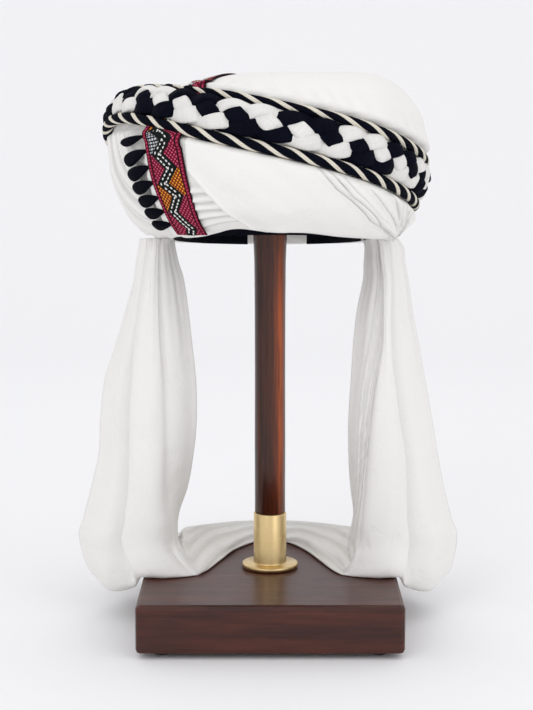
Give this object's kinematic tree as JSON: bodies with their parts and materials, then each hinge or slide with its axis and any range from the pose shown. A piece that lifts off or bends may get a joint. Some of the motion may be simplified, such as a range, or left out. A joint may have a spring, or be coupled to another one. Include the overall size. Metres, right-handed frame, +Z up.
{
  "type": "tied turban on a display stand",
  "caption": "Wound white cotton turban with a black and white plait, an embroidered band and a hanging loop of cloth, on a wooden display stand with a brass ferrule.",
  "frame": {"origin": "on the floor, on the axis of the pole, under the middle of the turban", "axes": "+Z up along the pole; -Y towards the front, where the base's front edge and the embroidered band's lower end face; +X to the viewer's right"},
  "size_m": [0.3232, 0.2992, 0.4647],
  "materials": {
    "white_cotton": "matt plain weave",
    "plait_cloth": "black and white cotton strands",
    "black_cord": "matt cotton",
    "embroidery": "cotton thread embroidery",
    "black_felt": "padded black cloth",
    "mahogany": "satin lacquer",
    "dark_mahogany": "gloss lacquer",
    "brass": "brushed round",
    "rubber": "matt"
  },
  "bodies": {
    "root": {"turban_body": "white_cotton", "front_wrap": "white_cotton", "hanging_loop": "white_cotton", "plait": "plait_cloth", "upper_rope": "black_cord", "lower_rope": "black_cord", "inner_band": "black_cord", "embroidered_band": "embroidery", "petal_1": "black_felt", "petal_2": "black_felt", "petal_3": "black_felt", "petal_4": "black_felt", "petal_5": "black_felt", "petal_6": "black_felt", "petal_7": "black_felt", "stand_base": "mahogany", "stand_pole": "dark_mahogany", "crown_rest": "dark_mahogany", "stand_ferrule": "brass", "foot_1": "rubber", "foot_2": "rubber", "foot_3": "rubber", "foot_4": "rubber"}
  },
  "joints": []
}
